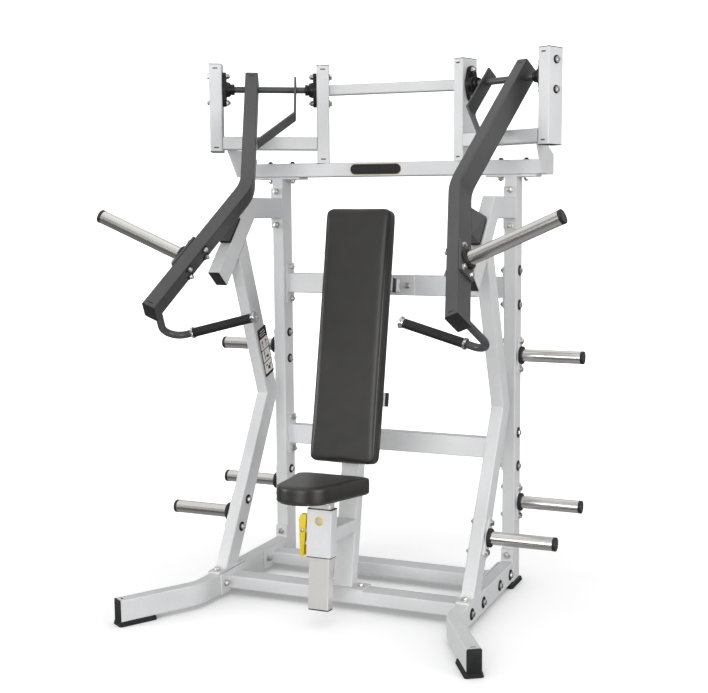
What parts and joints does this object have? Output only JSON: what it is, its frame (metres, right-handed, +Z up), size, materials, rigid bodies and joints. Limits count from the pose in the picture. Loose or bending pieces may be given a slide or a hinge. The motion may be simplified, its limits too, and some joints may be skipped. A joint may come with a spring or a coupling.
{
  "type": "chest press machine",
  "caption": "Plate-loaded seated chest press: two swinging press arms with handles and weight horns on a tall tube frame, with a tilted backrest and a height-adjustable seat.",
  "frame": {"origin": "middle of the footprint, on the floor", "axes": "+Z up, -Y the way the seated user faces, +X the user's left side"},
  "size_m": [1.7504, 1.0184, 2.026],
  "materials": {
    "white_powder_coat": "fine satin powder coat, silver white",
    "grey_powder_coat": "fine textured powder coat, dark grey",
    "satin_chrome": "satin chrome, turned lengthwise",
    "zinc_steel": "zinc plated",
    "black_iron": "black painted casting",
    "black_rubber": "matt moulded rubber",
    "black_nylon": "moulded nylon",
    "charcoal_leatherette": "fine grained leatherette over foam",
    "yellow_paint": "gloss yellow"
  },
  "bodies": {
    "frame": {"base_rail_right": "white_powder_coat", "upright_right": "white_powder_coat", "front_leg_right": "white_powder_coat", "stop_arm_right": "white_powder_coat", "outer_post_right": "white_powder_coat", "inner_post_right": "white_powder_coat", "bearing_bar_right": "white_powder_coat", "foot_pad_rear_right": "black_rubber", "foot_pad_front_right": "black_rubber", "outer_bearing_right": "black_iron", "inner_bearing_right": "black_iron", "storage_horn_upper_right": "satin_chrome", "storage_horn_lower_right": "satin_chrome", "storage_horn_front_right": "satin_chrome", "base_rail_left": "white_powder_coat", "upright_left": "white_powder_coat", "front_leg_left": "white_powder_coat", "stop_arm_left": "white_powder_coat", "outer_post_left": "white_powder_coat", "inner_post_left": "white_powder_coat", "bearing_bar_left": "white_powder_coat", "foot_pad_rear_left": "black_rubber", "foot_pad_front_left": "black_rubber", "outer_bearing_left": "black_iron", "inner_bearing_left": "black_iron", "storage_horn_upper_left": "satin_chrome", "storage_horn_lower_left": "satin_chrome", "storage_horn_front_left": "satin_chrome", "crossbeam": "white_powder_coat", "upper_tie": "white_powder_coat", "front_cross_tube": "white_powder_coat", "rear_cross_tube": "white_powder_coat", "upper_crossbar": "white_powder_coat", "lower_crossbar": "white_powder_coat", "back_post": "white_powder_coat", "post_link": "white_powder_coat", "seat_bracket": "white_powder_coat", "seat_sleeve": "white_powder_coat", "seat_bushing_top": "black_nylon", "seat_bushing_bottom": "black_nylon", "backrest_pad": "charcoal_leatherette", "lever_pivot": "zinc_steel"},
    "right_arm": {"press_arm_right": "grey_powder_coat", "arm_stay_right": "grey_powder_coat", "pivot_shaft_right": "black_iron", "weight_horn_right": "satin_chrome", "bumper_right": "black_rubber", "handle_right": "grey_powder_coat", "grip_right": "black_rubber"},
    "left_arm": {"press_arm_left": "grey_powder_coat", "arm_stay_left": "grey_powder_coat", "pivot_shaft_left": "black_iron", "weight_horn_left": "satin_chrome", "bumper_left": "black_rubber", "handle_left": "grey_powder_coat", "grip_left": "black_rubber"},
    "seat_carriage": {"seat_post": "satin_chrome", "seat_pad": "charcoal_leatherette"},
    "seat_lever": {"seat_lever": "yellow_paint"},
    "lock_pin": {"lock_pin": "zinc_steel"}
  },
  "joints": [
    {"name": "right_arm_press", "type": "hinge", "parent": "frame", "child": "right_arm", "pos_m": [0.55626, 0.34112, 1.932], "axis": [-0.9046, 0.4263, 0], "range_deg": [0, 40]},
    {"name": "left_arm_press", "type": "hinge", "parent": "frame", "child": "left_arm", "pos_m": [-0.55626, 0.34112, 1.932], "axis": [-0.9046, -0.4263, 0], "range_deg": [0, 40]},
    {"name": "seat_height", "type": "slide", "parent": "frame", "child": "seat_carriage", "axis": [0, 0.0698, 0.9976], "range_m": [-0.025, 0.15]},
    {"name": "seat_lever_pull", "type": "hinge", "parent": "frame", "child": "seat_lever", "pos_m": [-0.071, -0.207, 0.32899], "axis": [0, 0.9976, -0.0698], "range_deg": [0, 8], "stiffness_Nm_per_rad": 2},
    {"name": "lock_pin_slide", "type": "slide", "parent": "frame", "child": "lock_pin", "axis": [-1, 0, 0], "range_m": [0, 0.0063]}
  ],
  "couplings": [
    {"joint": "lock_pin_slide", "follows": "seat_lever_pull", "m_per_rad": 0.045}
  ]
}
